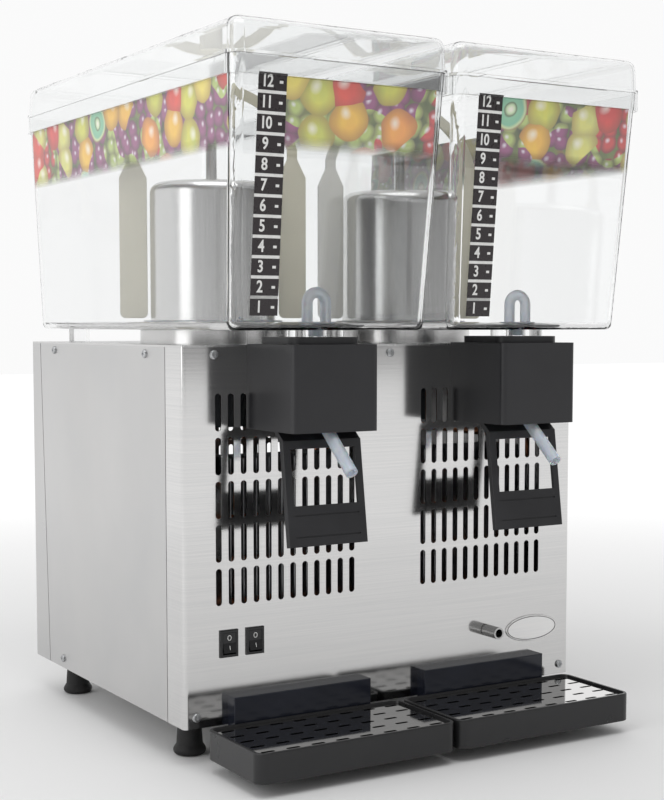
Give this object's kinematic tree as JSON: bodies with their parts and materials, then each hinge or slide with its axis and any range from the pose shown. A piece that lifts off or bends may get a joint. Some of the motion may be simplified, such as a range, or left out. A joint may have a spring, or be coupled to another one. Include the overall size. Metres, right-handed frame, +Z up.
{
  "type": "cold drink dispenser",
  "caption": "Refrigerated countertop cold drink dispenser with clear bowls, cooling drums with agitators, lever pinch taps and drip trays on a steel cabinet.",
  "frame": {"origin": "bottom centre of the whole machine on the table it stands on", "axes": "+Z up, -Y towards the user at the taps, +X to the user's right"},
  "size_m": [0.3978, 0.4412, 0.579],
  "materials": {
    "stainless_brushed": "brushed",
    "stainless_polished": "polished",
    "zinc_steel": "satin",
    "rubber_black": "matte",
    "black_plastic": "satin",
    "black_gloss": "gloss",
    "clear_plastic": "clear",
    "clear_silicone": "translucent",
    "beige_plastic": "satin",
    "copper": "satin",
    "fin_aluminium": "satin",
    "black_enamel": "satin",
    "motor_enamel": "satin",
    "printed_film": "satin"
  },
  "bodies": {
    "root": {"back_panel": "stainless_brushed", "badge_plate": "stainless_polished", "base_plate": "stainless_brushed", "cable_gland": "black_plastic", "compressor": "black_enamel", "compressor_mounts": "rubber_black", "condenser_coil": "copper", "condenser_fins": "fin_aluminium", "control_box": "black_plastic", "drain_tube": "stainless_polished", "evaporator_coils": "copper", "fan_motor": "motor_enamel", "fan_shroud": "zinc_steel", "feet": "rubber_black", "filter_drier": "copper", "foot_studs": "zinc_steel", "front_panel": "stainless_brushed", "left_drum_base": "stainless_polished", "left_evaporator": "stainless_polished", "left_gear_motor": "motor_enamel", "left_lever_spring": "zinc_steel", "left_pour_tube": "clear_silicone", "left_side_panel": "stainless_brushed", "left_switch_housing": "black_plastic", "left_tap_housing": "black_plastic", "left_tray_bracket": "black_plastic", "lever_pins": "stainless_polished", "refrigerant_lines": "copper", "right_drum_base": "stainless_polished", "right_evaporator": "stainless_polished", "right_gear_motor": "motor_enamel", "right_lever_spring": "zinc_steel", "right_pour_tube": "clear_silicone", "right_side_panel": "stainless_brushed", "right_switch_housing": "black_plastic", "right_tap_housing": "black_plastic", "right_tray_bracket": "black_plastic", "screws": "zinc_steel", "top_plate": "stainless_brushed"},
    "left_bowl": {"left_bowl": "clear_plastic", "left_bowl_seal": "clear_silicone", "left_outlet_plug": "clear_silicone"},
    "left_lid": {"left_lid": "clear_plastic"},
    "left_agitator": {"left_agitator": "beige_plastic"},
    "left_shaft": {"left_drive_shaft": "stainless_polished"},
    "left_lever": {"left_lever": "black_plastic"},
    "left_rocker": {"left_switch_rocker": "black_gloss"},
    "left_tray": {"left_drip_tray": "black_plastic"},
    "left_grid": {"left_tray_grid": "stainless_polished"},
    "right_bowl": {"right_bowl": "clear_plastic", "right_bowl_seal": "clear_silicone", "right_outlet_plug": "clear_silicone"},
    "right_lid": {"right_lid": "clear_plastic"},
    "right_agitator": {"right_agitator": "beige_plastic"},
    "right_shaft": {"right_drive_shaft": "stainless_polished"},
    "right_lever": {"right_lever": "black_plastic"},
    "right_rocker": {"right_switch_rocker": "black_gloss"},
    "right_tray": {"right_drip_tray": "black_plastic"},
    "right_grid": {"right_tray_grid": "stainless_polished"},
    "fan": {"fan_blade": "black_plastic"}
  },
  "joints": [
    {"name": "left_bowl_lift", "type": "slide", "parent": "root", "child": "left_bowl", "axis": [0, 0, 1], "range_m": [0, 0.21]},
    {"name": "left_lid_lift", "type": "slide", "parent": "left_bowl", "child": "left_lid", "axis": [0, 0, 1], "range_m": [0, 0.15]},
    {"name": "left_shaft_spin", "type": "hinge", "parent": "root", "child": "left_shaft", "pos_m": [-0.1, 0.01455, 0.4], "axis": [0, 0, 1], "continuous": true},
    {"name": "left_agitator_spin", "type": "hinge", "parent": "left_bowl", "child": "left_agitator", "pos_m": [-0.1, 0.01455, 0.4], "axis": [0, 0, 1], "continuous": true},
    {"name": "left_lever_press", "type": "hinge", "parent": "root", "child": "left_lever", "pos_m": [-0.1, -0.15045, 0.276], "axis": [1, 0, 0], "range_deg": [0, 18], "stiffness_Nm_per_rad": 1, "springref_deg": -28.65, "deforming": ["left_lever_spring"]},
    {"name": "left_switch_rock", "type": "hinge", "parent": "root", "child": "left_rocker", "pos_m": [-0.1569, -0.11745, 0.0982], "axis": [1, 0, 0], "range_deg": [0, 14]},
    {"name": "left_tray_slide", "type": "slide", "parent": "root", "child": "left_tray", "axis": [0, -1, 0], "range_m": [0, 0.08]},
    {"name": "left_grid_lift", "type": "slide", "parent": "left_tray", "child": "left_grid", "axis": [0, 0, 1], "range_m": [0, 0.04]},
    {"name": "right_bowl_lift", "type": "slide", "parent": "root", "child": "right_bowl", "axis": [0, 0, 1], "range_m": [0, 0.21]},
    {"name": "right_lid_lift", "type": "slide", "parent": "right_bowl", "child": "right_lid", "axis": [0, 0, 1], "range_m": [0, 0.15]},
    {"name": "right_shaft_spin", "type": "hinge", "parent": "root", "child": "right_shaft", "pos_m": [0.1, 0.01455, 0.4], "axis": [0, 0, 1], "continuous": true},
    {"name": "right_agitator_spin", "type": "hinge", "parent": "right_bowl", "child": "right_agitator", "pos_m": [0.1, 0.01455, 0.4], "axis": [0, 0, 1], "continuous": true},
    {"name": "right_lever_press", "type": "hinge", "parent": "root", "child": "right_lever", "pos_m": [0.1, -0.15045, 0.276], "axis": [1, 0, 0], "range_deg": [0, 18], "stiffness_Nm_per_rad": 1, "springref_deg": -28.65, "deforming": ["right_lever_spring"]},
    {"name": "right_switch_rock", "type": "hinge", "parent": "root", "child": "right_rocker", "pos_m": [-0.1331, -0.11745, 0.0982], "axis": [1, 0, 0], "range_deg": [0, 14]},
    {"name": "right_tray_slide", "type": "slide", "parent": "root", "child": "right_tray", "axis": [0, -1, 0], "range_m": [0, 0.08]},
    {"name": "right_grid_lift", "type": "slide", "parent": "right_tray", "child": "right_grid", "axis": [0, 0, 1], "range_m": [0, 0.04]},
    {"name": "fan_spin", "type": "hinge", "parent": "root", "child": "fan", "pos_m": [-0.062, -0.03645, 0.16], "axis": [0, 1, 0], "continuous": true}
  ],
  "couplings": [
    {"joint": "left_agitator_spin", "follows": "left_shaft_spin", "ratio": 1},
    {"joint": "right_agitator_spin", "follows": "right_shaft_spin", "ratio": 1}
  ]
}
